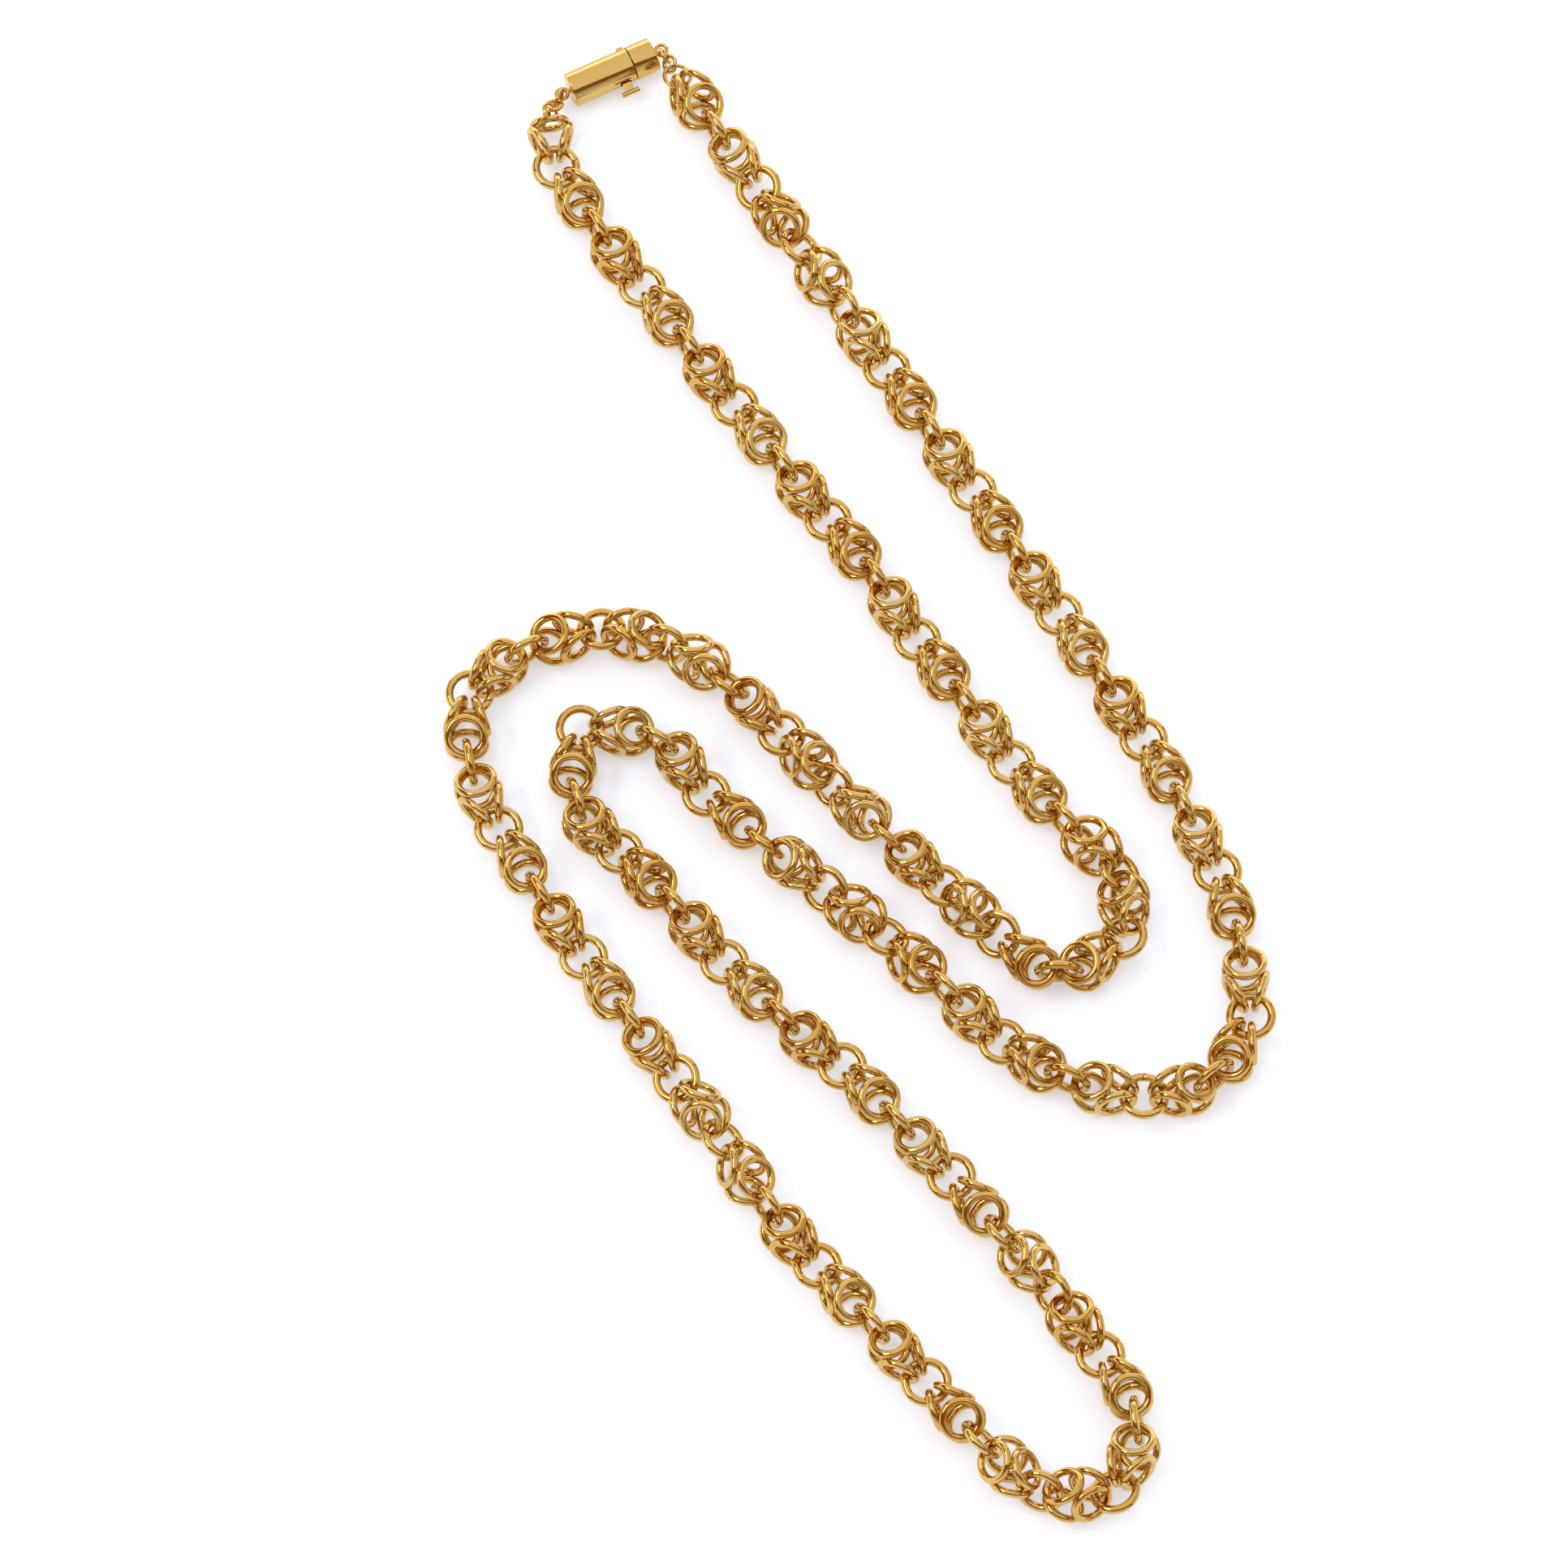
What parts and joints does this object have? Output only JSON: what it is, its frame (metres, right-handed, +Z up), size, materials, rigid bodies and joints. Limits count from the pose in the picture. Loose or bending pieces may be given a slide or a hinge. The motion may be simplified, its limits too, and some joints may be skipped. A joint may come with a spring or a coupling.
{
  "type": "sautoir necklace",
  "caption": "Long gold necklace of soldered wire-ring knots joined by single rings, laid in folds and closed by a barrel clasp with a T-shaped thumb press.",
  "frame": {"origin": "centre of the necklace's outline, on the surface it lies on", "axes": "+X to the right, +Y away from the viewer, +Z up from the surface"},
  "size_m": [0.1346, 0.2567, 0.0088],
  "materials": {
    "gold": "polished"
  },
  "bodies": {
    "necklace": {"chain_right": "gold", "chain_left": "gold", "clasp_barrel": "gold", "clasp_cap": "gold", "jump_ring_a": "gold", "jump_ring_b": "gold", "jump_ring_c": "gold", "jump_ring_d": "gold", "jump_ring_e": "gold", "jump_ring_f": "gold", "jump_ring_g": "gold"},
    "thumb": {"thumb_piece": "gold"}
  },
  "joints": [
    {"name": "thumb_press", "type": "slide", "parent": "necklace", "child": "thumb", "axis": [-0.4384, 0.8988, 0], "range_m": [0, 0.0006], "stiffness_N_per_m": 300}
  ]
}
